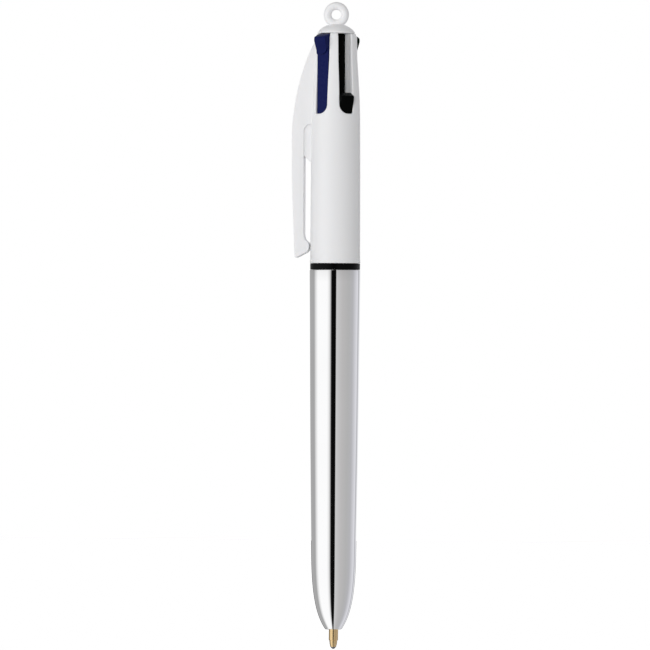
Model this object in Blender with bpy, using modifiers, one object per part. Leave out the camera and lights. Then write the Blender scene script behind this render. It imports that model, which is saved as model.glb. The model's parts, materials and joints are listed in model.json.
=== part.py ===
"""Multicolour click pen: four refills on sliders in one barrel, a clip, a cap with a loop, an unscrewing lower barrel.

Lengths are in millimetres until they reach Blender, and heights run up the pen from the end of the writing ball.
The origin is the centre of the cap's loop, +Z points up the pen and the clip lies towards -X.
One refill, the black one, is out: its slider is down and the other three are up.
"""

import math

import bmesh
import bpy
from mathutils import Vector

MM = 0.001
LOOP_HEIGHT = 144.12
MERGE = 1e-6
ROUND_STEPS = 36

# Lower barrel.
NOSE_END = 4.46
NOSE_RADIUS = 1.83
NOSE_HOLE_RADIUS = 1.60
LOWER_TOP = 86.1
LOWER_TOP_RADIUS = 5.77
LOWER_WALL = 0.70
NOSE_CURVE = [(NOSE_RADIUS, NOSE_END), (3.09, 6.46), (4.80, 9.5), (5.03, 20.0)]
BODY_CURVE = [(5.03, 20.0), (5.60, 55.0), (5.46, 56.1), (LOWER_TOP_RADIUS, LOWER_TOP)]
THREAD_BORE = 4.98
THREAD_BORE_BOTTOM = 77.0

# Thread between the sleeve's neck and the lower barrel.
THREAD_PITCH = 1.5
THREAD_TURNS = 3
THREAD_WIRE = 0.30
SLEEVE_THREAD_RADIUS = 4.58
BARREL_THREAD_RADIUS = 5.06
SLEEVE_THREAD_BOTTOM = 79.6
BARREL_THREAD_BOTTOM = SLEEVE_THREAD_BOTTOM + THREAD_PITCH / 2

# Trim ring, threaded sleeve and spring plate.
RING_BOTTOM = 86.2
RING_TOP = 87.45
RING_RADIUS = 5.68
RING_BORE = 5.00
SLEEVE_BOTTOM = 78.0
SLEEVE_SHOULDER = 87.95
SLEEVE_TOP = 95.0
SLEEVE_RADIUS = 4.85
NECK_RADIUS = 4.65
SLEEVE_BORE = 4.25
PLATE_BOTTOM = 95.3
PLATE_TOP = 97.0
PLATE_HOLE_RADIUS = 1.35
PLATE_HOLE_PLACE = 3.01

# Upper barrel.
UPPER_BOTTOM = 87.6
UPPER_TOP = 139.9
WIDE_BORE = 4.95
NARROW_BORE = 3.90
BORE_STEP = 123.4
SLOT_HALF_WIDTH = 1.65
SLOT_BOTTOM = 121.5
SLOT_CORNER = 2.0
SLOT_FAR_CORNER = 0.4
UPPER_TOP_EDGE = [(4.10, UPPER_TOP), (4.34, UPPER_TOP - 0.05), (4.64, 139.2), (4.72, 138.7), (4.77, 136.5)]
NECK_CURVE = [(4.83, 133.8), (5.02, 130.8), (5.38, 127.0), (5.51, 121.0)]
UPPER_SIDE = [(5.58, 116.5), (5.62, 105.0), (5.66, 90.0), (5.67, UPPER_BOTTOM + 0.85),
              (5.72, UPPER_BOTTOM + 0.75), (5.73, UPPER_BOTTOM + 0.25), (5.66, UPPER_BOTTOM + 0.07),
              (5.45, UPPER_BOTTOM)]

# Clip: its side view as (distance from the pen's axis, height).
CLIP_WIDTH = 3.4
CLIP_WEB_WIDTH = 1.3
CLIP_FACE_RADIUS = 9.85
CLIP_SHOULDER = [(4.5, 138.4), (6.9, 134.4), (9.5, 126.0), (CLIP_FACE_RADIUS, 117.8)]
CLIP_TAIL = [(CLIP_FACE_RADIUS, 107.8), (9.75, 103.0), (9.35, 96.0), (9.2, 90.0)]
CLIP_TOE = [(9.0, 88.9), (8.7, 88.8), (6.2, 90.3)]
CLIP_BUMP_CENTRE = (6.6, 91.5)
CLIP_BUMP_RADIUS = 0.75
CLIP_BACK_FOOT = (6.8, 93.2)
CLIP_ROOT_CENTRE = (5.2, 117.7)
CLIP_ROOT_RADIUS = 1.6
CLIP_ROOT_TOP = [(5.2, 121.2), (4.4, 121.7)]
CLIP_WEB = [(5.25, 120.1), (7.45, 120.1), (7.45, 112.6)]
CLIP_WEB_CENTRE = (5.9, 112.6)
CLIP_WEB_RADIUS = 1.1
CLIP_WEB_FOOT = (5.25, 111.0)

# Top cap.
CAP_BOTTOM = 140.0
DOME_CURVE = [(0.0, 142.05), (1.5, 142.0), (2.9, 141.6), (3.9, 140.35)]
DOME_EDGE = [(4.15, 140.15), (4.10, CAP_BOTTOM)]
STEM_RADIUS = 3.80
STEM_BOTTOM = 119.0
CHANNEL_FLOOR = 0.8
CORE_RADIUS = 1.85
CORE_BORE = 1.90
CORE_TOP = 139.95
LOOP_RADIUS = 1.99
LOOP_WIRE = 0.89
CHANNEL_CORNER = 1.0

# Sliders and refills.
TRAVEL = 13.4
SLIDER_INNER = 2.45
SLIDER_OUTER = 4.70
SLIDER_HALF_WIDTH = 1.53
SLIDER_BOTTOM = 117.0
SLIDER_TOP = 139.7
NUB = [(SLIDER_OUTER, 135.6), (5.2, 136.6), (5.75, 137.6), (5.9, 138.3), (5.7, 138.95), (4.6, 139.6)]
PEG_RADIUS = 0.65
PEG_LENGTH = 2.5
PEG_ROOT = 0.5
PIVOT_RADIUS = 3.2
REFILL_LENGTH = 103.65
RAISED_BALL_RADIUS = 2.5
TUBE_RADIUS = 1.1
TUBE_BORE = 0.8
TUBE_BOTTOM = 6.6
TUBE_TOP = 103.3
INK_RADIUS = 0.72
INK_BOTTOM = 10.3
INK_TOP = 88.0
POINT_RADIUS = 1.0
POINT_SHOULDER = 1.9
POINT_NOSE = [(0.86, POINT_SHOULDER), (0.82, POINT_SHOULDER - 0.1), (0.62, 0.50), (0.60, 0.40)]
POINT_PLUG_TOP = 10.0
BALL_RADIUS = 0.5
SEAT_RADIUS = 0.56
INK_FEED_RADIUS = 0.2
SPRING_RADIUS = 1.42
SPRING_WIRE = 0.16
SPRING_TURNS = 5
SPRING_POINTS_PER_TURN = 8
SPRING_GAP = 0.35

# Each colour's slot: its turn about the pen from the side that faces -Y, and whether its slider is down.
SLOTS = {
    "blue": (-32.5, False),
    "black": (35.0, True),
    "green": (142.0, False),
    "red": (-150.5, False),
}

# The slots lie in two pairs: 1 where a slot's partner is on its right, seen from outside, and -1 on its left.
PARTNER_SIDE = {"blue": 1, "black": -1, "green": 1, "red": -1}

COLOURS = {
    "blue": (0.010, 0.016, 0.120),
    "black": (0.008, 0.008, 0.009),
    "green": (0.004, 0.060, 0.025),
    "red": (0.420, 0.010, 0.012),
}


def z(height):
    """The frame's Z, in metres, of a height above the ball's end."""
    return (height - LOOP_HEIGHT) * MM


def make_material(name, colour, roughness, metallic=0.0):
    material = bpy.data.materials.new(name)
    material.use_nodes = True
    shader = material.node_tree.nodes["Principled BSDF"]
    shader.inputs["Base Color"].default_value = (*colour, 1.0)
    shader.inputs["Roughness"].default_value = roughness
    shader.inputs["Metallic"].default_value = metallic
    return material


def make_collection(name):
    collection = bpy.data.collections.new(name)
    bpy.context.scene.collection.children.link(collection)
    return collection


for old in list(bpy.data.objects):
    bpy.data.objects.remove(old, do_unlink=True)
PEN = make_collection("multicolour_pen")
CUTTERS = make_collection("cutters")
CUTTERS.hide_render = True

WHITE = make_material("white_plastic", (0.80, 0.80, 0.81), 0.35)
CHROME = make_material("chromed_plastic", (0.85, 0.85, 0.86), 0.08, 1.0)
DARK = make_material("black_plastic", COLOURS["black"], 0.3)
STEEL = make_material("spring_steel", (0.50, 0.50, 0.52), 0.3, 1.0)
BRASS = make_material("brass", (0.75, 0.55, 0.25), 0.2, 1.0)
CLEAR = make_material("clear_plastic", (0.75, 0.76, 0.78), 0.2)


def keep(obj, material):
    """Files a finished piece under the pen."""
    PEN.objects.link(obj)
    obj.data.materials.clear()
    obj.data.materials.append(material)
    return obj


def tool(obj):
    """Files a cutter or a piece that is only joined to another."""
    CUTTERS.objects.link(obj)
    obj.hide_render = True
    obj.display_type = "WIRE"
    return obj


def cubic(points, count):
    """Points along a cubic Bezier curve of four control points."""
    p0, p1, p2, p3 = (Vector(point) for point in points)
    curve = []
    for step in range(count + 1):
        t = step / count
        s = 1.0 - t
        curve.append(tuple(p0 * s**3 + p1 * 3 * s * s * t + p2 * 3 * s * t * t + p3 * t**3))
    return curve


def arc(centre, radius, start, end, count):
    """Points along an arc; the angles are in degrees."""
    points = []
    for step in range(count + 1):
        angle = math.radians(start + (end - start) * step / count)
        points.append((centre[0] + radius * math.cos(angle), centre[1] + radius * math.sin(angle)))
    return points


def turned(name, profile, closed, steps=ROUND_STEPS, height_of=z):
    """A turned solid: profile points are (radius, height), running down the outer side."""
    mesh = bpy.data.meshes.new(name)
    verts = [(radius * MM, 0.0, height_of(height)) for radius, height in profile]
    edges = [(i, i + 1) for i in range(len(verts) - 1)]
    if closed:
        edges.append((len(verts) - 1, 0))
    mesh.from_pydata(verts, edges, [])
    obj = bpy.data.objects.new(name, mesh)
    screw = obj.modifiers.new("turn", "SCREW")
    screw.steps = steps
    screw.render_steps = steps
    screw.use_merge_vertices = True
    screw.merge_threshold = MERGE
    screw.use_smooth_shade = True
    return obj


def outline(name, points, half_thickness):
    """A flat outline in the curve's own XY plane, in millimetres, thickened both ways along its own Z."""
    curve = bpy.data.curves.new(name, "CURVE")
    curve.dimensions = "2D"
    curve.fill_mode = "BOTH"
    curve.extrude = half_thickness * MM
    spline = curve.splines.new("POLY")
    spline.points.add(len(points) - 1)
    for place, (x, y) in zip(spline.points, points):
        place.co = (x * MM, y * MM, 0.0, 1.0)
    spline.use_cyclic_u = True
    return bpy.data.objects.new(name, curve)


def as_mesh(obj):
    """The same object as a plain mesh, with its modifiers applied and its loose caps welded."""
    bpy.context.scene.collection.objects.link(obj)
    bpy.context.view_layer.update()
    evaluated = obj.evaluated_get(bpy.context.evaluated_depsgraph_get())
    mesh = bpy.data.meshes.new_from_object(evaluated)
    name = obj.name
    matrix = obj.matrix_world.copy()
    bpy.data.objects.remove(obj, do_unlink=True)
    work = bmesh.new()
    work.from_mesh(mesh)
    bmesh.ops.remove_doubles(work, verts=work.verts, dist=MERGE)
    bmesh.ops.recalc_face_normals(work, faces=work.faces)
    work.to_mesh(mesh)
    work.free()
    made = bpy.data.objects.new(name, mesh)
    made.matrix_world = matrix
    return made


def boolean(target, other, operation):
    modifier = target.modifiers.new(operation.lower(), "BOOLEAN")
    modifier.operation = operation
    modifier.object = other
    modifier.solver = "EXACT"


def bevel(obj, width, segments=2, limit=40.0):
    modifier = obj.modifiers.new("round", "BEVEL")
    modifier.width = width * MM
    modifier.segments = segments
    modifier.limit_method = "ANGLE"
    modifier.angle_limit = math.radians(limit)


def rod(name, radius, length, steps=20):
    """A closed cylinder along Z, centred on its origin."""
    mesh = bpy.data.meshes.new(name)
    work = bmesh.new()
    bmesh.ops.create_cone(work, cap_ends=True, segments=steps, radius1=radius * MM, radius2=radius * MM,
                          depth=length * MM)
    work.to_mesh(mesh)
    work.free()
    return bpy.data.objects.new(name, mesh)


def cylinder(name, radius, low, high, centre=(0.0, 0.0)):
    """A closed cylinder between two heights; the centre is in millimetres."""
    obj = rod(name, radius, high - low)
    obj.location = (centre[0] * MM, centre[1] * MM, z((low + high) / 2))
    return obj


def ridge(name, radius, bottom):
    """A right-handed helical thread ridge, as a thin curved rod."""
    per_turn = 18
    count = per_turn * THREAD_TURNS
    curve = bpy.data.curves.new(name, "CURVE")
    curve.dimensions = "3D"
    curve.bevel_depth = THREAD_WIRE * MM
    curve.bevel_resolution = 1
    curve.use_fill_caps = True
    spline = curve.splines.new("POLY")
    spline.points.add(count)
    for index, place in enumerate(spline.points):
        angle = 2.0 * math.pi * index / per_turn
        height = bottom + THREAD_PITCH * index / per_turn
        place.co = (radius * MM * math.cos(angle), radius * MM * math.sin(angle), z(height), 1.0)
    return tool(as_mesh(bpy.data.objects.new(name, curve)))


def slot_place(colour, obj, pivot_height=None, tilt=0.0):
    """Turns a piece to its slot; in its own frame -Y points outwards and X runs along the barrel's surface."""
    turn, _down = SLOTS[colour]
    obj.rotation_euler = (tilt, 0.0, math.radians(turn))
    if pivot_height is not None:
        outward = math.radians(turn)
        obj.location = (PIVOT_RADIUS * MM * math.sin(outward), -PIVOT_RADIUS * MM * math.cos(outward),
                        z(pivot_height))
    return obj


def make_lower_barrel():
    outer = cubic(BODY_CURVE, 4)[::-1] + cubic(NOSE_CURVE, 9)[::-1][1:]
    inner = [(radius - LOWER_WALL, height) for radius, height in reversed(outer)
             if radius - LOWER_WALL > NOSE_HOLE_RADIUS and height < THREAD_BORE_BOTTOM - 1.0]
    land = [(NOSE_HOLE_RADIUS + 0.03, NOSE_END), (NOSE_HOLE_RADIUS, NOSE_END + 0.3), (1.68, 5.2)]
    mouth = [(4.86, THREAD_BORE_BOTTOM - 0.2), (THREAD_BORE, THREAD_BORE_BOTTOM), (THREAD_BORE, LOWER_TOP - 0.4),
             (THREAD_BORE + 0.1, LOWER_TOP - 0.1), (THREAD_BORE + 0.2, LOWER_TOP)]
    rim = [(LOWER_TOP_RADIUS - 0.2, LOWER_TOP), (LOWER_TOP_RADIUS - 0.06, LOWER_TOP - 0.06),
           (LOWER_TOP_RADIUS, LOWER_TOP - 0.2)]
    barrel = as_mesh(turned("lower_barrel", rim + outer[1:] + land + inner + mouth, True))
    boolean(barrel, ridge("barrel_thread", BARREL_THREAD_RADIUS, BARREL_THREAD_BOTTOM), "UNION")
    keep(barrel, CHROME)


def make_trim_ring():
    edge = 0.15
    profile = [(RING_BORE, RING_TOP), (RING_RADIUS - edge, RING_TOP), (RING_RADIUS, RING_TOP - edge),
               (RING_RADIUS, RING_BOTTOM + edge), (RING_RADIUS - edge, RING_BOTTOM), (RING_BORE, RING_BOTTOM)]
    keep(turned("trim_ring", profile, True), DARK)


def make_sleeve():
    profile = [(SLEEVE_BORE, SLEEVE_TOP), (SLEEVE_RADIUS - 0.15, SLEEVE_TOP), (SLEEVE_RADIUS, SLEEVE_TOP - 0.15),
               (SLEEVE_RADIUS, SLEEVE_SHOULDER), (NECK_RADIUS, SLEEVE_SHOULDER),
               (NECK_RADIUS, SLEEVE_BOTTOM + 0.3), (NECK_RADIUS - 0.2, SLEEVE_BOTTOM), (SLEEVE_BORE, SLEEVE_BOTTOM)]
    sleeve = as_mesh(turned("threaded_sleeve", profile, True))
    boolean(sleeve, ridge("sleeve_thread", SLEEVE_THREAD_RADIUS, SLEEVE_THREAD_BOTTOM), "UNION")
    keep(sleeve, WHITE)


def make_spring_plate():
    edge = 0.1
    profile = [(0.0, PLATE_TOP), (SLEEVE_RADIUS - edge, PLATE_TOP), (SLEEVE_RADIUS, PLATE_TOP - edge),
               (SLEEVE_RADIUS, PLATE_BOTTOM + edge), (SLEEVE_RADIUS - edge, PLATE_BOTTOM), (0.0, PLATE_BOTTOM)]
    plate = as_mesh(turned("spring_plate", profile, False))
    for colour, (turn, _down) in SLOTS.items():
        angle = math.radians(turn)
        centre = (PLATE_HOLE_PLACE * math.sin(angle), -PLATE_HOLE_PLACE * math.cos(angle))
        hole = tool(cylinder(colour + "_plate_hole", PLATE_HOLE_RADIUS, PLATE_BOTTOM - 1, PLATE_TOP + 1, centre))
        boolean(plate, hole, "DIFFERENCE")
    keep(plate, WHITE)


def slot_corners(colour):
    """The left and right corner radii of a slot's foot: wide on its partner's side, tight on the other."""
    corners = (SLOT_FAR_CORNER, SLOT_CORNER)
    return corners if PARTNER_SIDE[colour] > 0 else corners[::-1]


def slot_cutter(colour, name, bottom, near, far, corners):
    """A cutter with a round-cornered foot, from one distance off the axis to another, towards the slot's side."""
    half = SLOT_HALF_WIDTH
    top = LOOP_HEIGHT + 1.0
    left, right = corners
    foot = arc((left - half, bottom + left), left, 180.0, 270.0, 4)
    foot += arc((half - right, bottom + right), right, 270.0, 360.0, 4)
    points = [(x, height - LOOP_HEIGHT) for x, height in foot + [(half, top), (-half, top)]]
    cutter = outline(name, points, (far - near) / 2)
    turn = math.radians(SLOTS[colour][0])
    middle = (near + far) / 2
    cutter.rotation_euler = (math.pi / 2, 0.0, turn)
    cutter.location = (middle * MM * math.sin(turn), -middle * MM * math.cos(turn), 0.0)
    return tool(as_mesh(cutter))


def clip_solid(name, points, width):
    """A solid from a side view of (distance from the axis towards -X, height)."""
    side = outline(name, [(-radius, height - LOOP_HEIGHT) for radius, height in points], width / 2)
    side.rotation_euler = (math.pi / 2, 0.0, 0.0)
    return as_mesh(side)


def make_clip():
    """The spring clip, with the thin web that closes the top of the gap behind it."""
    toe = CLIP_TOE + arc(CLIP_BUMP_CENTRE, CLIP_BUMP_RADIUS, 240.0, 120.0, 4) + [CLIP_BACK_FOOT]
    root = arc(CLIP_ROOT_CENTRE, CLIP_ROOT_RADIUS, 0.0, 90.0, 4) + CLIP_ROOT_TOP
    clip = clip_solid("clip", cubic(CLIP_SHOULDER, 10) + cubic(CLIP_TAIL, 5) + toe + root, CLIP_WIDTH)
    bevel(clip, 0.35, 2, 50.0)
    web = CLIP_WEB + arc(CLIP_WEB_CENTRE, CLIP_WEB_RADIUS, 0.0, -60.0, 3) + [CLIP_WEB_FOOT]
    boolean(clip, tool(clip_solid("clip_web", web, CLIP_WEB_WIDTH)), "UNION")
    return tool(clip)


def make_upper_barrel():
    outer = UPPER_TOP_EDGE + cubic(NECK_CURVE, 6) + UPPER_SIDE
    inner = [(WIDE_BORE + 0.1, UPPER_BOTTOM), (WIDE_BORE, UPPER_BOTTOM + 0.1), (WIDE_BORE, BORE_STEP - 0.6),
             (NARROW_BORE + 0.3, BORE_STEP), (NARROW_BORE, BORE_STEP + 0.3), (NARROW_BORE, UPPER_TOP)]
    barrel = as_mesh(turned("upper_barrel", outer + inner, True))
    for colour in SLOTS:
        cutter = slot_cutter(colour, colour + "_slot", SLOT_BOTTOM, 3.0, 9.0, slot_corners(colour))
        boolean(barrel, cutter, "DIFFERENCE")
    boolean(barrel, make_clip(), "UNION")
    keep(barrel, WHITE)


def make_top_cap():
    """The dome and its loop, on a bored stem with a channel for each slider."""
    dome = cubic(DOME_CURVE, 6) + DOME_EDGE + [(STEM_RADIUS, CAP_BOTTOM)]
    stem = [(STEM_RADIUS, STEM_BOTTOM + 0.3), (STEM_RADIUS - 0.3, STEM_BOTTOM), (CORE_BORE, STEM_BOTTOM),
            (CORE_BORE, CAP_BOTTOM), (0.0, CAP_BOTTOM)]
    cap = as_mesh(turned("top_cap", dome + stem, False))
    for colour in SLOTS:
        cutter = slot_cutter(colour, colour + "_channel", STEM_BOTTOM - 5.0, CHANNEL_FLOOR, 6.0,
                             (CHANNEL_CORNER, CHANNEL_CORNER))
        lid = cylinder(colour + "_lid", 9.0, CAP_BOTTOM - 0.02, LOOP_HEIGHT + 5.0)
        boolean(cutter, tool(lid), "DIFFERENCE")
        boolean(cap, cutter, "DIFFERENCE")
    bpy.ops.mesh.primitive_torus_add(major_radius=LOOP_RADIUS * MM, minor_radius=LOOP_WIRE * MM,
                                     major_segments=24, minor_segments=10, rotation=(math.pi / 2, 0.0, 0.0))
    loop = bpy.context.object
    loop.name = "loop"
    for collection in list(loop.users_collection):
        collection.objects.unlink(loop)
    boolean(cap, tool(loop), "UNION")
    keep(cap, WHITE)


def make_guide_core():
    """The black rod in the cap's stem: it is the floor of the four channels."""
    edge = 0.15
    profile = [(0.0, CORE_TOP), (CORE_RADIUS - edge, CORE_TOP), (CORE_RADIUS, CORE_TOP - edge),
               (CORE_RADIUS, STEM_BOTTOM + edge), (CORE_RADIUS - edge, STEM_BOTTOM), (0.0, STEM_BOTTOM)]
    keep(turned("guide_core", profile, False), DARK)


def drop(colour):
    """How far this colour's slider is pushed down."""
    return TRAVEL if SLOTS[colour][1] else 0.0


def refill_tilt(colour):
    """The refill's lean about its pivot: the ball is on the pen's axis when it is out."""
    ball = 0.0 if SLOTS[colour][1] else RAISED_BALL_RADIUS
    return math.asin((PIVOT_RADIUS - ball) / REFILL_LENGTH)


def make_slider(colour, material):
    """A bar with a thumb nub at its top and a peg for the refill's tube at its foot."""
    side = [(SLIDER_INNER, SLIDER_BOTTOM), (SLIDER_OUTER, SLIDER_BOTTOM)] + NUB + [(SLIDER_INNER, SLIDER_TOP)]
    bar = outline(colour + "_slider", [(-radius, height - SLIDER_BOTTOM) for radius, height in side],
                  SLIDER_HALF_WIDTH)
    bar.rotation_euler = (math.pi / 2, 0.0, math.pi / 2)
    bar = as_mesh(bar)
    bar.data.transform(bar.rotation_euler.to_matrix().to_4x4())
    bevel(bar, 0.3)
    peg = tool(rod(colour + "_peg", PEG_RADIUS, PEG_LENGTH + PEG_ROOT, 16))
    slot_place(colour, peg, SLIDER_BOTTOM - drop(colour), refill_tilt(colour))
    peg.location = peg.matrix_basis @ Vector((0.0, 0.0, (PEG_ROOT - PEG_LENGTH) / 2 * MM))
    boolean(bar, peg, "UNION")
    turn = math.radians(SLOTS[colour][0])
    bar.rotation_euler = (0.0, 0.0, turn)
    bar.location = (0.0, 0.0, z(SLIDER_BOTTOM - drop(colour)))
    keep(bar, material)


def along(distance):
    """Z in a refill's own frame, whose origin is the pivot, from a distance above the ball's end."""
    return (distance - REFILL_LENGTH) * MM


def make_refill(colour, material):
    """A refill's tube, ink, brass point and writing ball."""
    pivot = SLIDER_BOTTOM - drop(colour)
    tilt = refill_tilt(colour)
    tube = [(TUBE_BORE, TUBE_TOP), (TUBE_RADIUS, TUBE_TOP), (TUBE_RADIUS, TUBE_BOTTOM), (TUBE_BORE, TUBE_BOTTOM)]
    ink = [(0.0, INK_TOP), (INK_RADIUS, INK_TOP), (INK_RADIUS, INK_BOTTOM), (0.0, INK_BOTTOM)]
    seat = arc((0.0, BALL_RADIUS), SEAT_RADIUS, -10.0, 68.0, 3)
    seat_top = BALL_RADIUS + math.sqrt(SEAT_RADIUS**2 - INK_FEED_RADIUS**2)
    point = [(INK_FEED_RADIUS, POINT_PLUG_TOP), (INK_RADIUS, POINT_PLUG_TOP), (INK_RADIUS, TUBE_BOTTOM - 0.1),
             (POINT_RADIUS, TUBE_BOTTOM - 0.1), (POINT_RADIUS, POINT_SHOULDER + 0.1)]
    point += POINT_NOSE + seat + [(INK_FEED_RADIUS, seat_top)]
    pieces = [
        (turned(colour + "_refill_tube", tube, True, 16, along), CLEAR),
        (turned(colour + "_ink", ink, False, 12, along), material),
        (turned(colour + "_point", point, True, 16, along), BRASS),
    ]
    for piece, finish in pieces:
        keep(slot_place(colour, piece, pivot, tilt), finish)
    ball_mesh = bpy.data.meshes.new(colour + "_ball")
    work = bmesh.new()
    bmesh.ops.create_uvsphere(work, u_segments=12, v_segments=8, radius=BALL_RADIUS * MM)
    work.to_mesh(ball_mesh)
    work.free()
    ball_mesh.shade_smooth()
    ball = slot_place(colour, bpy.data.objects.new(colour + "_ball", ball_mesh), pivot, tilt)
    ball.location = ball.matrix_basis @ Vector((0.0, 0.0, along(BALL_RADIUS)))
    keep(ball, STEEL)


def make_spring(colour):
    """A coil round the refill's tube, between the plate and the slider."""
    pivot = SLIDER_BOTTOM - drop(colour)
    length = pivot - PLATE_TOP - 2 * SPRING_GAP
    count = SPRING_TURNS * SPRING_POINTS_PER_TURN
    curve = bpy.data.curves.new(colour + "_spring", "CURVE")
    curve.dimensions = "3D"
    curve.bevel_depth = SPRING_WIRE * MM
    curve.bevel_resolution = 1
    curve.use_fill_caps = True
    spline = curve.splines.new("POLY")
    spline.points.add(count)
    for index, place in enumerate(spline.points):
        angle = 2.0 * math.pi * index / SPRING_POINTS_PER_TURN
        height = -SPRING_GAP - length * index / count
        place.co = (SPRING_RADIUS * MM * math.cos(angle), SPRING_RADIUS * MM * math.sin(angle), height * MM, 1.0)
    coil = bpy.data.objects.new(colour + "_spring", curve)
    keep(slot_place(colour, coil, pivot, refill_tilt(colour)), STEEL)


def main():
    make_lower_barrel()
    make_trim_ring()
    make_sleeve()
    make_spring_plate()
    make_upper_barrel()
    make_top_cap()
    make_guide_core()
    for colour, paint in COLOURS.items():
        material = make_material(colour + "_plastic", paint, 0.3)
        make_slider(colour, material)
        make_refill(colour, material)
        make_spring(colour)


main()
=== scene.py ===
"""Looks for the multicolour click pen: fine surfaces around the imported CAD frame, studio light and a camera.

Lengths are in millimetres until they reach Blender. Heights run up the pen from the end of the writing ball.
"""

import json
import math

import bmesh
import bpy
from mathutils import Matrix, Vector

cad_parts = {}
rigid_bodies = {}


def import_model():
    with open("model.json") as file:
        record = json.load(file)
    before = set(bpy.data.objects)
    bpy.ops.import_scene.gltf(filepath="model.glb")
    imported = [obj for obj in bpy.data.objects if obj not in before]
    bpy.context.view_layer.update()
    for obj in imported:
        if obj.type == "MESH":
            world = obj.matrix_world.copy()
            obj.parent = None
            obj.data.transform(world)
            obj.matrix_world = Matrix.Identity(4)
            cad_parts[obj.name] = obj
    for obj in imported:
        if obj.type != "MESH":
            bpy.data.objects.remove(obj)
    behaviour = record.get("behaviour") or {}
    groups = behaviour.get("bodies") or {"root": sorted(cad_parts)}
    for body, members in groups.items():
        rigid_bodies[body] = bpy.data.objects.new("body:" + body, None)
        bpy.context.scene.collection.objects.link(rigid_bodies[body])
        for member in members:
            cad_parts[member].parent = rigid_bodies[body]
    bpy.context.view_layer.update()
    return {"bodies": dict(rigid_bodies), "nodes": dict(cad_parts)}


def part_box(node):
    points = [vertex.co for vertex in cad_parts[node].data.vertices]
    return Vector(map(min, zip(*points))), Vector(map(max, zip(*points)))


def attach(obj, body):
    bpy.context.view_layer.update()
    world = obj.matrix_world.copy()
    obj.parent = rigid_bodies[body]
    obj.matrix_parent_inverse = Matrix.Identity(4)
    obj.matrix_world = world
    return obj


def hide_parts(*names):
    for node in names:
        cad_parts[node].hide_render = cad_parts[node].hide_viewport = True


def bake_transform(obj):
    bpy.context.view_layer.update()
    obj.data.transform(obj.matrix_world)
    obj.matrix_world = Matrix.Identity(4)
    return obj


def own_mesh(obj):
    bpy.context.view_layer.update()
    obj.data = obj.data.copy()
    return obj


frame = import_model()

MM = 0.001
BALL_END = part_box("black_ball")[0][2]
MERGE = 1e-6
ROUND_STEPS = 160
CAMERA_TURN = math.radians(8.0)

# The slots' turns about the pen from the side that faces -Y, and whether each slider is down.
SLOTS = {"blue": (-32.5, False), "black": (35.0, True), "green": (142.0, False), "red": (-150.5, False)}
# The slots lie in two pairs. 1: a slot's partner is on its right, seen from outside. -1: it is on its left.
PARTNER_SIDE = {"blue": 1, "black": -1, "green": 1, "red": -1}
# How far the red and black sliders move, and how far blue and green do while another point is out.
TRAVEL = 13.4
SLIDER_FOOT = 117.0
PLATE_TOP = 97.0

LOWER_TOP = (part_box("lower_barrel")[1][2] - BALL_END) / MM
UPPER_FOOT = (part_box("upper_barrel")[0][2] - BALL_END) / MM
CAP_FOOT = 139.80
STEM_RADIUS = 3.80
STEM_FOOT = 119.0
CORE_BORE = 1.90


def z(height):
    """The frame's Z, in metres, of a height above the ball's end."""
    return BALL_END + height * MM


def z_mm(height):
    """The same in millimetres, for an outline."""
    return height + BALL_END / MM


# ---------------------------------------------------------------- materials


def new_material(name, colour, roughness, metallic=0.0, gloss=0.5):
    """A Principled material, returned with its node tree and shader. A gloss of 0.5 is full strength."""
    material = bpy.data.materials.new(name)
    material.use_nodes = True
    tree = material.node_tree
    shader = tree.nodes["Principled BSDF"]
    shader.inputs["Base Color"].default_value = (*colour, 1.0)
    shader.inputs["Roughness"].default_value = roughness
    shader.inputs["Metallic"].default_value = metallic
    shader.inputs["Specular IOR Level"].default_value = gloss
    return material, tree, shader


def link(tree, source, target):
    tree.links.new(source, target)


def noise_of(tree, scale, detail=2.0, stretch=(1.0, 1.0, 1.0)):
    """Noise in the object's own coordinates; scale is per metre."""
    coordinates = tree.nodes.new("ShaderNodeTexCoord")
    mapping = tree.nodes.new("ShaderNodeMapping")
    mapping.inputs["Scale"].default_value = stretch
    noise = tree.nodes.new("ShaderNodeTexNoise")
    noise.inputs["Scale"].default_value = scale
    noise.inputs["Detail"].default_value = detail
    link(tree, coordinates.outputs["Object"], mapping.inputs["Vector"])
    link(tree, mapping.outputs["Vector"], noise.inputs["Vector"])
    return noise.outputs["Fac"]


# The part of the noise's range that holds nearly all of its values.
NOISE_LOW = 0.3
NOISE_HIGH = 0.7


def vary(tree, fac, low, high, target):
    """Maps noise to a range of values on one socket."""
    spread = tree.nodes.new("ShaderNodeMapRange")
    spread.inputs["From Min"].default_value = NOISE_LOW
    spread.inputs["From Max"].default_value = NOISE_HIGH
    spread.inputs["To Min"].default_value = low
    spread.inputs["To Max"].default_value = high
    link(tree, fac, spread.inputs["Value"])
    link(tree, spread.outputs["Result"], target)


def tint(tree, fac, dark, light, target):
    """Mixes two colours by noise on a colour socket."""
    mix = tree.nodes.new("ShaderNodeMix")
    mix.data_type = "RGBA"
    mix.inputs["A"].default_value = (*dark, 1.0)
    mix.inputs["B"].default_value = (*light, 1.0)
    link(tree, fac, mix.inputs["Factor"])
    link(tree, mix.outputs["Result"], target)


def bump(tree, shader, fac, depth, strength):
    """Roughens a surface by noise; depth is in metres."""
    node = tree.nodes.new("ShaderNodeBump")
    node.inputs["Distance"].default_value = depth
    node.inputs["Strength"].default_value = strength
    link(tree, fac, node.inputs["Height"])
    link(tree, node.outputs["Normal"], shader.inputs["Normal"])


PLASTIC_IOR = 1.49
SUBSURFACE_RADIUS = (0.0004, 0.00035, 0.0003)


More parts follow.
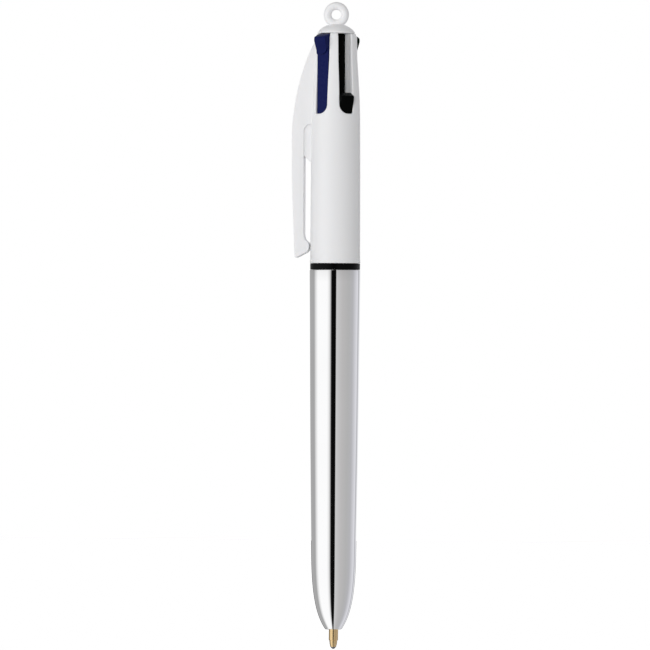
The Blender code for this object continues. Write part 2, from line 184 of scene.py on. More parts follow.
def moulded_plastic(name, colour, roughness, subsurface=0.0, gloss=0.5):
    """Moulded plastic: a faint orange-peel, small drifts of gloss and shade."""
    material, tree, shader = new_material(name, colour, roughness, gloss=gloss)
    shader.inputs["IOR"].default_value = PLASTIC_IOR
    if subsurface:
        shader.inputs["Subsurface Weight"].default_value = subsurface
        shader.inputs["Subsurface Radius"].default_value = SUBSURFACE_RADIUS
        shader.inputs["Subsurface Scale"].default_value = 1.0
    dark = tuple(c * 0.97 for c in colour)
    light = tuple(min(1.0, c * 1.03) for c in colour)
    drift = noise_of(tree, 90.0, detail=3.0, stretch=(1.0, 1.0, 0.35))
    tint(tree, drift, dark, light, shader.inputs["Base Color"])
    vary(tree, noise_of(tree, 700.0), roughness - 0.04, roughness + 0.05, shader.inputs["Roughness"])
    bump(tree, shader, noise_of(tree, 2600.0), depth=0.000004, strength=0.5)
    return material


def chrome_plating(name):
    """Bright plating on plastic: almost a mirror, with long faint waves from the moulding under it."""
    material, tree, shader = new_material(name, (0.93, 0.93, 0.935), roughness=0.035, metallic=1.0)
    waves = noise_of(tree, 500.0, detail=3.0, stretch=(1.0, 1.0, 0.15))
    vary(tree, waves, 0.02, 0.06, shader.inputs["Roughness"])
    tint(tree, noise_of(tree, 60.0), (0.91, 0.91, 0.915), (0.95, 0.95, 0.955), shader.inputs["Base Color"])
    return material


def turned_brass(name):
    """Turned brass: fine rings round the point and a slightly uneven tone."""
    material, tree, shader = new_material(name, (0.80, 0.58, 0.30), roughness=0.2, metallic=1.0)
    tone = noise_of(tree, 1500.0, stretch=(1.0, 1.0, 4.0))
    tint(tree, tone, (0.72, 0.50, 0.23), (0.88, 0.67, 0.38), shader.inputs["Base Color"])
    rings = noise_of(tree, 900.0, stretch=(1.0, 1.0, 9.0))
    vary(tree, rings, 0.14, 0.26, shader.inputs["Roughness"])
    return material


def drawn_steel(name, colour=(0.52, 0.52, 0.54), roughness=0.28):
    """Drawn or rolled steel with an uneven polish, for the springs and the writing balls."""
    material, tree, shader = new_material(name, colour, roughness, metallic=1.0)
    vary(tree, noise_of(tree, 3000.0), roughness - 0.08, roughness + 0.08, shader.inputs["Roughness"])
    return material


def milky_plastic(name):
    """The refills' tubes: thin, slightly see-through polypropylene."""
    material, tree, shader = new_material(name, (0.82, 0.84, 0.86), roughness=0.3)
    shader.inputs["Transmission Weight"].default_value = 0.6
    shader.inputs["IOR"].default_value = PLASTIC_IOR
    vary(tree, noise_of(tree, 800.0), 0.24, 0.4, shader.inputs["Roughness"])
    return material


def wet_ink(name, colour):
    """The refills' ink columns."""
    material, tree, shader = new_material(name, colour, roughness=0.12)
    tint(tree, noise_of(tree, 400.0), tuple(c * 0.8 for c in colour), colour, shader.inputs["Base Color"])
    return material


COLOURS = {
    "blue": (0.0045, 0.0085, 0.0720),
    "black": (0.0012, 0.0015, 0.0015),
    # The green is painted near black, far darker than real green plastic. It is painted shade for its nub at
    # the pen's back, where little light falls. The green ink takes the same colour.
    "green": (0.0006, 0.0060, 0.0030),
    "red": (0.3800, 0.0080, 0.0100),
}
SLIDER_GLOSS = {"blue": 0.07, "black": 0.03, "green": 0.01, "red": 0.25}
WHITE = moulded_plastic("white_plastic", (0.86, 0.86, 0.87), roughness=0.36, subsurface=0.12)
TRIM = moulded_plastic("trim_black", (0.0012, 0.0012, 0.0014), roughness=0.30, gloss=0.08)
# The guide core is painted black and matt. It is painted shade for the deep, dark recess of an open slot,
# where the core shows.
PAINTED_SHADE_CORE = moulded_plastic("core_black", (0.0012, 0.0012, 0.0012), roughness=0.6, gloss=0.03)
CHROME = chrome_plating("chrome_plating")
BRASS = turned_brass("brass_point")
WIRE = drawn_steel("spring_steel")
BALL = drawn_steel("ball_steel", (0.20, 0.20, 0.22), 0.18)
TUBE = milky_plastic("tube_plastic")


# ---------------------------------------------------------------- shapes


def cubic(points, count):
    """Points along a cubic Bezier curve of four control points."""
    p0, p1, p2, p3 = (Vector(point) for point in points)
    curve = []
    for step in range(count + 1):
        t = step / count
        s = 1.0 - t
        curve.append(tuple(p0 * s**3 + p1 * 3 * s * s * t + p2 * 3 * s * t * t + p3 * t**3))
    return curve


def arc(centre, radius, start, end, count):
    """Points along an arc; the angles are in degrees."""
    points = []
    for step in range(count + 1):
        angle = math.radians(start + (end - start) * step / count)
        points.append((centre[0] + radius * math.cos(angle), centre[1] + radius * math.sin(angle)))
    return points


def add(name, mesh):
    obj = bpy.data.objects.new(name, mesh)
    bpy.context.scene.collection.objects.link(obj)
    return obj


def settle(obj):
    """Applies the object's modifiers and place, and welds what touches."""
    bpy.context.view_layer.update()
    evaluated = obj.evaluated_get(bpy.context.evaluated_depsgraph_get())
    mesh = bpy.data.meshes.new_from_object(evaluated)
    mesh.transform(obj.matrix_world)
    obj.modifiers.clear()
    name = obj.name
    bpy.data.objects.remove(obj, do_unlink=True)
    work = bmesh.new()
    work.from_mesh(mesh)
    bmesh.ops.remove_doubles(work, verts=work.verts, dist=MERGE)
    bmesh.ops.recalc_face_normals(work, faces=work.faces)
    work.to_mesh(mesh)
    work.free()
    return add(name, mesh)


def smooth(obj, angle):
    """Smooth shading, with edges sharper than the angle, in degrees, kept."""
    obj.data.shade_smooth()
    obj.data.set_sharp_from_angle(angle=math.radians(angle))
    return obj


def turned(name, profile, closed=True, steps=ROUND_STEPS, height_of=z):
    """A turned solid: profile points are (radius, height), running down the outer side."""
    mesh = bpy.data.meshes.new(name)
    verts = [(radius * MM, 0.0, height_of(height)) for radius, height in profile]
    edges = [(i, i + 1) for i in range(len(verts) - 1)]
    if closed:
        edges.append((len(verts) - 1, 0))
    mesh.from_pydata(verts, edges, [])
    obj = add(name, mesh)
    screw = obj.modifiers.new("turn", "SCREW")
    screw.steps = steps
    screw.render_steps = steps
    screw.use_merge_vertices = True
    screw.merge_threshold = MERGE
    return settle(obj)


def outline(name, points, half_thickness):
    """A flat outline in its own XY plane, in millimetres, thickened both ways along its own Z."""
    mesh = bpy.data.meshes.new(name)
    work = bmesh.new()
    low = [work.verts.new((x * MM, y * MM, -half_thickness * MM)) for x, y in points]
    face = work.faces.new(low)
    raised = bmesh.ops.extrude_face_region(work, geom=[face])
    verts = [item for item in raised["geom"] if isinstance(item, bmesh.types.BMVert)]
    bmesh.ops.translate(work, verts=verts, vec=(0.0, 0.0, 2 * half_thickness * MM))
    bmesh.ops.recalc_face_normals(work, faces=work.faces)
    work.to_mesh(mesh)
    work.free()
    return add(name, mesh)


def boolean(target, other, operation):
    modifier = target.modifiers.new(operation.lower(), "BOOLEAN")
    modifier.operation = operation
    modifier.object = other
    modifier.solver = "EXACT"


def cut(target, cutters, operation="DIFFERENCE"):
    """Applies Booleans and drops the cutters."""
    for cutter in cutters:
        boolean(target, cutter, operation)
    made = settle(target)
    for cutter in cutters:
        bpy.data.objects.remove(cutter, do_unlink=True)
    return made


def bevel(obj, width, segments, angle):
    """Rounds the edges sharper than the angle, in degrees."""
    modifier = obj.modifiers.new("round", "BEVEL")
    modifier.width = width * MM
    modifier.segments = segments
    modifier.limit_method = "ANGLE"
    modifier.angle_limit = math.radians(angle)
    modifier.harden_normals = False


def slot_matrix(colour):
    """Turns what was made facing -Y to its slot."""
    return Matrix.Rotation(math.radians(SLOTS[colour][0]), 4, "Z")


def dress(obj, material, slot_name, body, *nodes):
    """Gives a piece its material, its body and the CAD nodes that it stands for."""
    obj.data.materials.clear()
    obj.data.materials.append(material)
    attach(obj, body)
    if nodes:
        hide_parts(*nodes)
    return obj


# ---------------------------------------------------------------- barrels

NOSE_END = 4.46
LOWER_RADIUS = 5.77
NOSE_CURVE = [(1.83, NOSE_END), (3.09, 6.46), (4.80, 9.5), (5.03, 20.0)]
BODY_CURVE = [(5.03, 20.0), (5.60, 55.0), (5.46, 56.1), (LOWER_RADIUS, LOWER_TOP)]
LOWER_WALL = 0.70
NOSE_HOLE = 1.7
NOSE_LIP = 0.13
LOWER_RIM = 0.16
LOWER_BORE = 4.98
BORE_FOOT = 77.0


def make_lower_barrel():
    """The chromed barrel: a thin wall that follows its outside, and a straight bore at the top."""
    body = cubic(BODY_CURVE, 30)[::-1]
    nose = cubic(NOSE_CURVE, 44)[::-1][1:-1]
    lip = arc((1.72, NOSE_END + NOSE_LIP), NOSE_LIP, 20.0, -180.0, 8)
    inner = [(radius - LOWER_WALL, height) for radius, height in reversed(body + nose)
             if radius - LOWER_WALL > NOSE_HOLE and height < BORE_FOOT - 1.0]
    rim = arc((LOWER_RADIUS - LOWER_RIM, LOWER_TOP - LOWER_RIM), LOWER_RIM, 90.0, 10.0, 6)
    mouth = [(LOWER_BORE, BORE_FOOT), (LOWER_BORE, LOWER_TOP - 0.3), (LOWER_BORE + 0.17, LOWER_TOP)]
    barrel = smooth(turned("chrome_barrel", rim + body[1:] + nose + lip + inner + mouth), 40.0)
    dress(barrel, CHROME, "chrome_plating", "lower_barrel", "lower_barrel")


RING_RADIUS = 5.68
RING_BORE = 5.00
RING_EDGE = 0.06
RING_GAP = 0.06


def make_trim_ring():
    """The black band between the barrels, clear of both."""
    low, high = LOWER_TOP + RING_GAP, UPPER_FOOT - RING_GAP
    middle = RING_RADIUS - RING_EDGE
    profile = [(RING_BORE, high)] + arc((middle, high - RING_EDGE), RING_EDGE, 90.0, 0.0, 5)
    profile += arc((middle, low + RING_EDGE), RING_EDGE, 0.0, -90.0, 5) + [(RING_BORE, low)]
    ring = smooth(turned("trim_band", profile), 40.0)
    dress(ring, TRIM, "trim_black", "trim_ring", "trim_ring")


UPPER_TOP = 139.76
COLLAR_CURVE = [(4.74, 138.0), (4.76, 136.9), (4.78, 135.6), (4.83, 133.8)]
NECK_CURVE = [(4.83, 133.8), (5.02, 130.8), (5.38, 127.0), (5.51, 121.0)]
SIDE_CURVE = [(5.51, 121.0), (5.54, 118.5), (5.60, 112.0), (5.62, 105.0)]
UPPER_BORE = 4.95
NECK_BORE = 3.9
SLOT_HALF = 1.64
SLOT_FOOT = 121.5
SLOT_CORNER = 2.0
SLOT_FAR_CORNER = 0.4
SLOT_ROUND = 0.26
SLOT_STEPS = 26
CORNER_STEPS = 10
ROUND_EDGE_STEPS = 5
# The slots' cutters start this far from the pen's axis and end as far outside the barrel.
CUTTER_REACH = 3.0
# Above this height the barrel's top edge is rounded, and the cutters keep to the radius found here.
SIDE_TOP = UPPER_TOP - 0.3


def upper_profile():
    """The upper barrel's outer side, top to bottom."""
    top = [(4.10, UPPER_TOP), (4.36, UPPER_TOP - 0.03), (4.46, UPPER_TOP - 0.16)]
    top += [(4.64, 139.2), (4.72, 138.7)]
    side = cubic(COLLAR_CURVE, 6) + cubic(NECK_CURVE, 20)[1:] + cubic(SIDE_CURVE, 8)[1:]
    return top + side + [(5.64, 97.0), (5.66, 90.0), (5.665, UPPER_FOOT + 0.95)]


def upper_radius(height):
    """The upper barrel's radius at a height."""
    profile = upper_profile()
    for (r1, h1), (r0, h0) in zip(profile, profile[1:]):
        if h0 <= height <= h1:
            return r0 + (r1 - r0) * (height - h0) / (h1 - h0)
    return profile[0][0] if height > profile[0][1] else profile[-1][0]


def slot_corners(colour):
    """The left and right corner radii of a slot's foot: wide on its partner's side, tight on the other."""
    corners = (SLOT_FAR_CORNER, SLOT_CORNER)
    return corners if PARTNER_SIDE[colour] > 0 else corners[::-1]


def slot_path(colour):
    """The slot's edge as (across, height, outward normal), from one open top round the foot to the other."""
    left, right = slot_corners(colour)
    top = UPPER_TOP + 1.2
    path = []
    for step in range(SLOT_STEPS):
        height = top + (SLOT_FOOT + left - top) * step / SLOT_STEPS
        path.append((-SLOT_HALF, height, (-1.0, 0.0)))
    for side, start, corner in ((-1, 180.0, left), (1, 270.0, right)):
        centre = side * (SLOT_HALF - corner)
        for step in range(CORNER_STEPS + 1):
            angle = math.radians(start + 90.0 * step / CORNER_STEPS)
            normal = (math.cos(angle), math.sin(angle))
            path.append((centre + corner * normal[0], SLOT_FOOT + corner * (1 + normal[1]), normal))
    for step in range(1, SLOT_STEPS + 1):
        height = SLOT_FOOT + right + (top - SLOT_FOOT - right) * step / SLOT_STEPS
        path.append((SLOT_HALF, height, (1.0, 0.0)))
    return path


def cutter_row(path, spread, out):
    """The slot's edge widened by spread, at a distance out from the barrel's surface. None: deep inside."""
    row = []
    for across, height, normal in path:
        x = across + normal[0] * spread
        h = height + normal[1] * spread
        surface = math.sqrt(upper_radius(min(h, SIDE_TOP)) ** 2 - x**2)
        row.append((x, -CUTTER_REACH if out is None else -(surface + out), h))
    return row


def slot_cutter(colour):
    """A cutter whose sides flare at the barrel's surface, so that the slot it leaves has a rounded edge."""
    path = slot_path(colour)
    rows = [cutter_row(path, 0.0, None)]
    for step in range(ROUND_EDGE_STEPS + 1):
        angle = math.radians(90.0 * step / ROUND_EDGE_STEPS)
        spread = SLOT_ROUND * (1.0 - math.cos(angle))
        rows.append(cutter_row(path, spread, -SLOT_ROUND * (1.0 - math.sin(angle))))
    for out in (0.06, CUTTER_REACH):
        rows.append(cutter_row(path, SLOT_ROUND + 0.10, out))
    work = bmesh.new()
    grid = [[work.verts.new((x * MM, y * MM, z(h))) for x, y, h in row] for row in rows]
    for inner, outer in zip(grid, grid[1:]):
        for i in range(len(path) - 1):
            work.faces.new((inner[i], inner[i + 1], outer[i + 1], outer[i]))
    work.faces.new(grid[0])
    work.faces.new(grid[-1])
    work.faces.new([row[0] for row in grid] + [row[-1] for row in reversed(grid)])
    bmesh.ops.recalc_face_normals(work, faces=work.faces)
    mesh = bpy.data.meshes.new(colour + "_slot_cutter")
    work.to_mesh(mesh)
    work.free()
    mesh.transform(slot_matrix(colour))
    return add(mesh.name, mesh)


CLIP_HALF = 1.7
CLIP_FACE = 9.85
WEB_HALF = 1.35


def make_clip():
    """The clip's side view, thickened and rounded; it grows out of the barrel's side."""
    shoulder = cubic([(4.3, 138.6), (6.9, 134.4), (9.5, 126.0), (CLIP_FACE, 117.8)], 36)
    tail = cubic([(CLIP_FACE, 107.8), (9.75, 103.0), (9.35, 96.0), (9.2, 90.0)], 16)
    toe = cubic([(9.2, 90.0), (9.15, 89.0), (9.05, 88.85), (8.7, 88.85)], 5)[1:]
    toe += cubic([(6.6, 89.95), (6.1, 90.2), (5.85, 90.6), (5.85, 91.3)], 5)
    toe += cubic([(5.85, 91.9), (5.95, 92.6), (7.1, 92.5), (7.1, 94.3)], 7)
    root = arc((5.5, 117.6), 1.6, 0.0, 90.0, 10) + [(4.9, 119.2), (4.9, 121.2), (4.3, 121.7)]
    points = [(-radius, z_mm(height)) for radius, height in shoulder + tail + toe + root]
    side = outline("clip", points, CLIP_HALF)
    side.data.transform(Matrix.Rotation(math.pi / 2, 4, "X"))
    bevel(side, width=0.5, segments=5, angle=45.0)
    return settle(side)


def make_clip_web():
    """The thin rib that closes the top of the gap behind the clip."""
    points = [(5.2, 119.6), (7.6, 119.6), (7.6, 111.9)]
    points += cubic([(7.1, 111.9), (6.6, 111.6), (6.2, 111.0), (5.2, 110.3)], 6)
    web = outline("clip_web", [(-radius, z_mm(height)) for radius, height in points], WEB_HALF)
    web.data.transform(Matrix.Rotation(math.pi / 2, 4, "X"))
    bevel(web, width=0.2, segments=3, angle=45.0)
    return settle(web)


def make_upper_barrel():
    """The white barrel with its slots, its clip and the flange at its foot."""
    foot = UPPER_FOOT
    flange = [(5.67, foot + 0.86), (5.71, foot + 0.78), (5.725, foot + 0.66), (5.725, foot + 0.12)]
    flange += arc((5.645, foot + 0.08), 0.08, 20.0, -90.0, 4)
    inner = [(UPPER_BORE, foot), (UPPER_BORE, 122.8), (4.2, 123.4)]
    inner += [(NECK_BORE, 123.7), (NECK_BORE, UPPER_TOP)]
    barrel = turned("white_barrel", upper_profile() + flange + inner)
    barrel = cut(barrel, [slot_cutter(colour) for colour in SLOTS])
    barrel = cut(barrel, [make_clip()], "UNION")
    barrel = smooth(cut(barrel, [make_clip_web()], "UNION"), 38.0)
    dress(barrel, WHITE, "white_plastic", "root", "upper_barrel")


LOOP_RADIUS = 1.99
LOOP_THICKNESS = 0.89
# The sliders' channels: half their depth, and the distance of its middle from the pen's axis.
CHANNEL_HALF_DEPTH = 2.5
CHANNEL_MIDDLE = 3.5


def make_cap():
    """The dome with its loop, on a bored stem with a channel for each slider."""
    dome = cubic([(0.0, 142.05), (1.5, 142.0), (2.9, 141.6), (3.98, 140.42)], 24)
    dome += arc((4.03, CAP_FOOT + 0.22), 0.2, 40.0, -90.0, 7)
    stem = [(STEM_RADIUS, CAP_FOOT), (STEM_RADIUS, STEM_FOOT + 0.3), (STEM_RADIUS - 0.3, STEM_FOOT),
            (CORE_BORE, STEM_FOOT), (CORE_BORE, CAP_FOOT), (0.0, CAP_FOOT)]
    cap = turned("cap", dome + stem, closed=False, steps=120)
    channels = []
    for colour in SLOTS:
        low, high = z_mm(STEM_FOOT - 1.0), z_mm(CAP_FOOT - 0.02)
        points = [(-SLOT_HALF, low), (SLOT_HALF, low), (SLOT_HALF, high), (-SLOT_HALF, high)]
        channel = outline(colour + "_channel", points, CHANNEL_HALF_DEPTH)
        place = Matrix.Translation((0.0, -CHANNEL_MIDDLE * MM, 0.0)) @ Matrix.Rotation(math.pi / 2, 4, "X")
        channel.data.transform(slot_matrix(colour) @ place)
        channels.append(channel)
    cap = cut(cap, channels)
    bpy.ops.mesh.primitive_torus_add(major_radius=LOOP_RADIUS * MM, minor_radius=LOOP_THICKNESS * MM,
                                     major_segments=96, minor_segments=40, rotation=(math.pi / 2, 0.0, 0.0))
    cap = smooth(cut(cap, [bpy.context.object], "UNION"), 40.0)
    dress(cap, WHITE, "white_plastic", "root", "top_cap")


# ---------------------------------------------------------------- sliders and refills


SLIDER_HALF = 1.59
SLIDER_FACE = 4.70
SLIDER_INNER = 2.60
NUB_FOOT = SLOT_FOOT + TRAVEL + 0.06
# The nub's blank is wider than its slot. The trim that shapes its front: half its depth, and the distance of
# its middle from the pen's axis.
NUB_HALF_WIDTH = 2.0
TRIM_HALF_DEPTH = 3.0
TRIM_MIDDLE = 5.5


def upright(side_view):
    """Stands an outline of (distance from the axis, height) up in a slot's plane."""
    side_view.data.transform(Matrix(((0, 0, 1, 0), (1, 0, 0, 0), (0, 1, 0, 0), (0, 0, 0, 1))))
    return side_view


def make_nub(colour):
    """The thumb nub: its side view, trimmed so that its foot fits the slot's foot."""
    side = [(4.40, NUB_FOOT - 0.5), (4.98, NUB_FOOT - 0.5)]
    side += cubic([(5.04, 135.6), (5.12, 136.3), (5.50, 136.9), (5.80, 137.8)], 10)
    side += cubic([(5.88, 138.0), (5.92, 138.5), (5.86, 138.9), (5.66, 138.98)], 6)
    side += cubic([(5.3, 139.12), (4.8, 139.42), (4.2, 139.62), (4.0, 139.70)], 8)
    points = [(-radius, height - SLIDER_FOOT) for radius, height in side]
    nub = upright(outline(colour + "_nub", points, NUB_HALF_WIDTH))
    left, right = (corner - (SLOT_HALF - SLIDER_HALF) for corner in slot_corners(colour))
    front = arc((left - SLIDER_HALF, NUB_FOOT + left), left, 180.0, 270.0, 8)
    front += arc((SLIDER_HALF - right, NUB_FOOT + right), right, 270.0, 360.0, 8)
    front += [(SLIDER_HALF, 141.0), (-SLIDER_HALF, 141.0)]
    trim = outline(colour + "_trim", [(x, height - SLIDER_FOOT) for x, height in front], TRIM_HALF_DEPTH)
    place = Matrix.Translation((0.0, -TRIM_MIDDLE * MM, 0.0)) @ Matrix.Rotation(math.pi / 2, 4, "X")
    trim.data.transform(place)
    return cut(nub, [trim], "INTERSECT")


def make_slider(colour, material):
    """A bar up the slot with its thumb nub, the long edges rounded."""
    side = [(SLIDER_FACE, SLIDER_FOOT), (SLIDER_FACE, 139.2), (4.2, 139.62)]
    side += [(SLIDER_INNER, 139.70), (SLIDER_INNER, SLIDER_FOOT)]
    points = [(-radius, height - SLIDER_FOOT) for radius, height in side]
    bar = upright(outline(colour + "_thumb_slider", points, SLIDER_HALF))
    bar = cut(bar, [make_nub(colour)], "UNION")
    bevel(bar, width=0.11, segments=3, angle=45.0)
    bar = settle(bar)
    down = TRAVEL if SLOTS[colour][1] else 0.0
    bar.data.transform(slot_matrix(colour) @ Matrix.Translation((0.0, 0.0, z(SLIDER_FOOT - down))))
    smooth(bar, 38.0)
    dress(bar, material, colour + "_plastic", colour + "_slider", colour + "_slider")


PIVOT_RADIUS = 3.2
REFILL_LENGTH = 103.65
RAISED_BALL_RADIUS = 2.5


def refill_matrix(colour):
    """From a refill's own frame, whose origin is its pivot at the slider's foot, to the pen's."""
    down = SLOTS[colour][1]
    tilt = math.asin((PIVOT_RADIUS - (0.0 if down else RAISED_BALL_RADIUS)) / REFILL_LENGTH)
    foot = SLIDER_FOOT - (TRAVEL if down else 0.0)
    place = Matrix.Translation((0.0, -PIVOT_RADIUS * MM, z(foot)))
    return slot_matrix(colour) @ place @ Matrix.Rotation(tilt, 4, "X")


def along(distance):
    """Z in a refill's own frame, from a distance above the ball's end."""
    return (distance - REFILL_LENGTH) * MM


BALL_RADIUS = 0.5
SEAT_RADIUS = 0.56
INK_BORE = 0.2


def make_point(colour, body):
    """The brass point: a turned nose with its step and fine collar, and the ball's socket."""
    seat = arc((0.0, BALL_RADIUS), SEAT_RADIUS, -10.0, 68.0, 8)
    nose = [(1.0, 2.05), (0.97, 1.96), (0.86, 1.90)]
    nose += cubic([(0.845, 1.84), (0.82, 1.3), (0.72, 0.85), (0.63, 0.55)], 8)
    nose += arc((0.585, 0.46), 0.045, 20.0, -120.0, 4)
    shank = [(INK_BORE, 10.0), (0.72, 10.0), (0.72, 6.5), (0.92, 6.5), (1.0, 6.42), (1.0, 4.0)]
    seat_top = (INK_BORE, BALL_RADIUS + math.sqrt(SEAT_RADIUS**2 - INK_BORE**2))
    profile = shank + nose + seat + [seat_top]
    point = turned(colour + "_brass_point", profile, steps=96, height_of=along)
    point.data.transform(refill_matrix(colour))
    smooth(point, 30.0)
    dress(point, BRASS, "brass_point", body, colour + "_point")


def make_ball(colour):
    bpy.ops.mesh.primitive_uv_sphere_add(segments=48, ring_count=24, radius=BALL_RADIUS * MM)
    ball = bpy.context.object
    ball.name = colour + "_writing_ball"
    ball.data.transform(refill_matrix(colour) @ Matrix.Translation((0.0, 0.0, along(BALL_RADIUS))))
    ball.data.shade_smooth()
    dress(ball, BALL, "ball_steel", colour + "_ball", colour + "_ball")


SPRING_RADIUS = 1.42
SPRING_WIRE = 0.15
SPRING_TURNS = 5
SPRING_STEPS = 32
SPRING_GAP = 0.35


def make_spring(colour):
    """A coil from the plate to the slider, which shortens as the slider goes down; black's lengthens."""
    down = SLOTS[colour][1]
    length = SLIDER_FOOT - (TRAVEL if down else 0.0) - PLATE_TOP - 2 * SPRING_GAP
    count = SPRING_TURNS * SPRING_STEPS
    curve = bpy.data.curves.new(colour + "_coil", "CURVE")
    curve.dimensions = "3D"
    curve.bevel_depth = SPRING_WIRE * MM
    curve.bevel_resolution = 3
    curve.use_fill_caps = True
    spline = curve.splines.new("POLY")
    spline.points.add(count)
    for index, place in enumerate(spline.points):
        angle = 2.0 * math.pi * index / SPRING_STEPS
        height = -SPRING_GAP - length * index / count
        x, y = SPRING_RADIUS * MM * math.cos(angle), SPRING_RADIUS * MM * math.sin(angle)
        place.co = (x, y, height * MM, 1.0)
    coil = settle(add(colour + "_coil", curve))
    coil.data.transform(refill_matrix(colour))
    smooth(coil, 50.0)
    coil.data.materials.clear()
    coil.data.materials.append(WIRE)
    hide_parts(colour + "_spring")
    if down:
        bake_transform(coil)
    else:
        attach(coil, "root")
        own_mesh(coil)


def paint_node(name, material):
    """A CAD node that stays, with the finer material."""
    node = frame["nodes"][name]
    node.data.materials.clear()
    node.data.materials.append(material)


def make_colour(colour):
    """One colour's slider, refill and spring."""
    paint = moulded_plastic(colour + "_plastic", COLOURS[colour], roughness=0.26, gloss=SLIDER_GLOSS[colour])
    body = colour + ("_refill" if colour + "_refill" in frame["bodies"] else "_slider")
    make_slider(colour, paint)
    make_point(colour, body)
    make_ball(colour)
    paint_node(colour + "_refill_tube", TUBE)
    paint_node(colour + "_ink", wet_ink(colour + "_ink", COLOURS[colour]))
    make_spring(colour)


# ---------------------------------------------------------------- studio

# The studio's cards as the pen reflects them: turn in degrees from the camera, to the right, and colour.
CARDS = [
    (-180.0, (0.42, 0.42, 0.42)), (-112.0, (0.40, 0.40, 0.40)), (-102.0, (0.72, 0.72, 0.72)),
    (-86.0, (1.04, 1.04, 1.04)), (-36.0, (1.04, 1.04, 1.04)), (-26.0, (0.85, 0.85, 0.85)),
    (-20.0, (0.52, 0.52, 0.52)), (-16.0, (0.004, 0.004, 0.004)), (5.0, (0.002, 0.002, 0.002)),
    (7.0, (0.64, 0.64, 0.64)), (12.0, (0.60, 0.60, 0.60)), (36.0, (0.52, 0.51, 0.51)),
    (66.0, (0.47, 0.47, 0.47)), (90.0, (0.48, 0.48, 0.50)), (112.0, (0.66, 0.66, 0.70)),
    (128.0, (0.76, 0.76, 0.80)), (135.0, (0.50, 0.50, 0.53)), (145.0, (0.50, 0.50, 0.52)),
    (152.0, (0.85, 0.85, 0.88)), (180.0, (0.85, 0.85, 0.86)),
]
# The fill light's mean and its swing round the pen, its brighter side, and how it changes upward. GLOSS_DROP
# dims the cards upward.
FILL_MEAN = 0.35
FILL_SWING = 0.22
FILL_SIDE = math.radians(85.0)
FILL_DROP = -0.20
GLOSS_DROP = -0.45


def make_world():
    """White behind the pen, bands of card for reflections, and a soft fill light for everything else."""
    world = bpy.data.worlds.new("studio")
    bpy.context.scene.world = world
    world.use_nodes = True
    tree = world.node_tree
    tree.nodes.clear()
    coordinates = tree.nodes.new("ShaderNodeTexCoord")
    parts = tree.nodes.new("ShaderNodeSeparateXYZ")
    link(tree, coordinates.outputs["Generated"], parts.inputs["Vector"])

    def math_node(operation, first, second=None):
        node = tree.nodes.new("ShaderNodeMath")
        node.operation = operation
        for socket, value in zip(node.inputs, (first, second)):
            if isinstance(value, (int, float)):
                socket.default_value = value
            elif value is not None:
                link(tree, value, socket)
        return node.outputs["Value"]

    turn = math_node("ARCTAN2", parts.outputs["X"], math_node("MULTIPLY", parts.outputs["Y"], -1.0))
    turn = math_node("SUBTRACT", turn, CAMERA_TURN)
    around = math_node("WRAP", math_node("ADD", math_node("DIVIDE", turn, 2.0 * math.pi), 0.5), 1.0)
    around.node.inputs[2].default_value = 0.0
    ramp = tree.nodes.new("ShaderNodeValToRGB")
    ramp.color_ramp.interpolation = "LINEAR"
    elements = ramp.color_ramp.elements
    while len(elements) > 1:
        elements.remove(elements[0])
    for index, (degrees, colour) in enumerate(CARDS):
        place = degrees / 360.0 + 0.5
        element = elements[0] if index == 0 else elements.new(place)
        element.position = place
        element.color = (*colour, 1.0)
    link(tree, around, ramp.inputs["Fac"])
    swing = math_node("MULTIPLY", math_node("COSINE", math_node("SUBTRACT", turn, FILL_SIDE)), FILL_SWING)
    height = parts.outputs["Z"]
    dim = math_node("MULTIPLY_ADD", height, FILL_DROP)
    dim.node.inputs[2].default_value = 1.0
    fill = math_node("MULTIPLY", math_node("ADD", swing, FILL_MEAN), dim)
    shine = math_node("MULTIPLY_ADD", math_node("MAXIMUM", height, 0.0), GLOSS_DROP)
    shine.node.inputs[2].default_value = 1.0

    def background(colour, strength):
        node = tree.nodes.new("ShaderNodeBackground")
        for socket, value in ((node.inputs["Color"], colour), (node.inputs["Strength"], strength)):
            if isinstance(value, (float, tuple)):
                socket.default_value = value
            else:
                link(tree, value, socket)
        return node.outputs["Background"]

    def mix(factor, first, second):
        node = tree.nodes.new("ShaderNodeMixShader")
        link(tree, factor, node.inputs[0])
        link(tree, first, node.inputs[1])
        link(tree, second, node.inputs[2])
        return node.outputs["Shader"]

    rays = tree.nodes.new("ShaderNodeLightPath")
    soft = background((1.0, 1.0, 1.0, 1.0), fill)
    shiny = background(ramp.outputs["Color"], shine)
    shown = background((1.0, 1.0, 1.0, 1.0), 1.0)
    lit = mix(rays.outputs["Is Glossy Ray"], soft, shiny)
    output = tree.nodes.new("ShaderNodeOutputWorld")
    link(tree, mix(rays.outputs["Is Camera Ray"], lit, shown), output.inputs["Surface"])


# Soft key lights: turn from the camera, rise and width, in degrees, and strength.
KEYS = {
    "key": (-18.0, 4.0, 10.0, 1.36),
    "side_key": (-68.0, 2.0, 40.0, 1.46),
    "back_key_left": (-148.0, 12.0, 40.0, 0.95),
    "back_key_right": (152.0, 12.0, 40.0, 1.05),
}


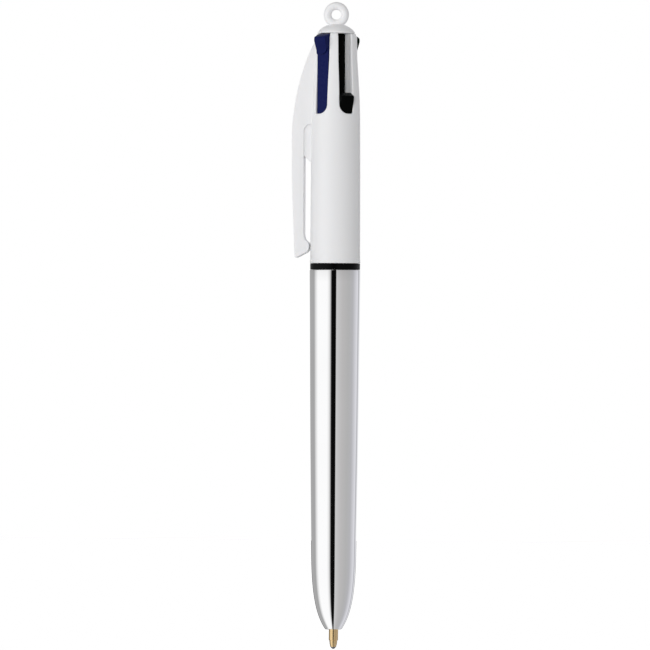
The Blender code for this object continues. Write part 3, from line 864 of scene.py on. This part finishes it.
def make_keys():
    """The soft lights from the left and from behind; the cards stand for them in reflections."""
    for name, (turn, rise, spread, strength) in KEYS.items():
        data = bpy.data.lights.new(name, "SUN")
        data.energy = strength
        data.angle = math.radians(spread)
        key = bpy.data.objects.new(name, data)
        turn = CAMERA_TURN + math.radians(turn)
        towards = Vector((math.sin(turn), -math.cos(turn), math.tan(math.radians(rise))))
        key.rotation_euler = towards.to_track_quat("Z", "Y").to_euler()
        key.visible_glossy = False
        bpy.context.scene.collection.objects.link(key)


FLOOR_DROP = 25.0


def make_floor():
    """A plain pale floor below the pen, which shows only the pen's soft shadow."""
    bpy.ops.mesh.primitive_plane_add(size=3.0, location=(0.0, 0.0, z(-FLOOR_DROP)))
    floor = bpy.context.object
    floor.name = "floor"
    material, _tree, _shader = new_material("floor_white", (0.9, 0.9, 0.9), 0.9)
    floor.data.materials.append(material)
    floor.is_shadow_catcher = True
    floor.visible_glossy = False
    floor.visible_diffuse = False


CAMERA_DISTANCE = 1500.0
CAMERA_HEIGHT = 73.56
PEN_OFFSET = 2.235
CAMERA_ROLL = math.radians(0.29)
LENS = 365.4


def make_camera():
    """A far camera with a long lens, level with the pen's middle and a little to the pen's left."""
    data = bpy.data.cameras.new("camera")
    data.lens = LENS
    data.sensor_width = 36.0
    data.clip_start = 0.01
    data.clip_end = 20.0
    camera = bpy.data.objects.new("camera", data)
    bpy.context.scene.collection.objects.link(camera)
    away = Vector((math.sin(CAMERA_TURN), -math.cos(CAMERA_TURN), 0.0))
    right = Vector((math.cos(CAMERA_TURN), math.sin(CAMERA_TURN), 0.0))
    middle = Vector((0.0, 0.0, z(CAMERA_HEIGHT)))
    camera.location = away * CAMERA_DISTANCE * MM - right * PEN_OFFSET * MM + middle
    look = (-away).to_track_quat("-Z", "Y").to_matrix().to_4x4()
    camera.rotation_euler = (look @ Matrix.Rotation(CAMERA_ROLL, 4, "Z")).to_euler()
    bpy.context.scene.camera = camera


def main():
    make_camera()
    make_lower_barrel()
    make_trim_ring()
    make_upper_barrel()
    make_cap()
    for colour in SLOTS:
        make_colour(colour)
    for name in ("threaded_sleeve", "spring_plate"):
        paint_node(name, WHITE)
    # The guide core takes the black, matt painted shade of the open slots' recesses.
    paint_node("guide_core", PAINTED_SHADE_CORE)
    make_floor()
    make_world()
    make_keys()
    bpy.context.scene.view_settings.view_transform = "Standard"


main()
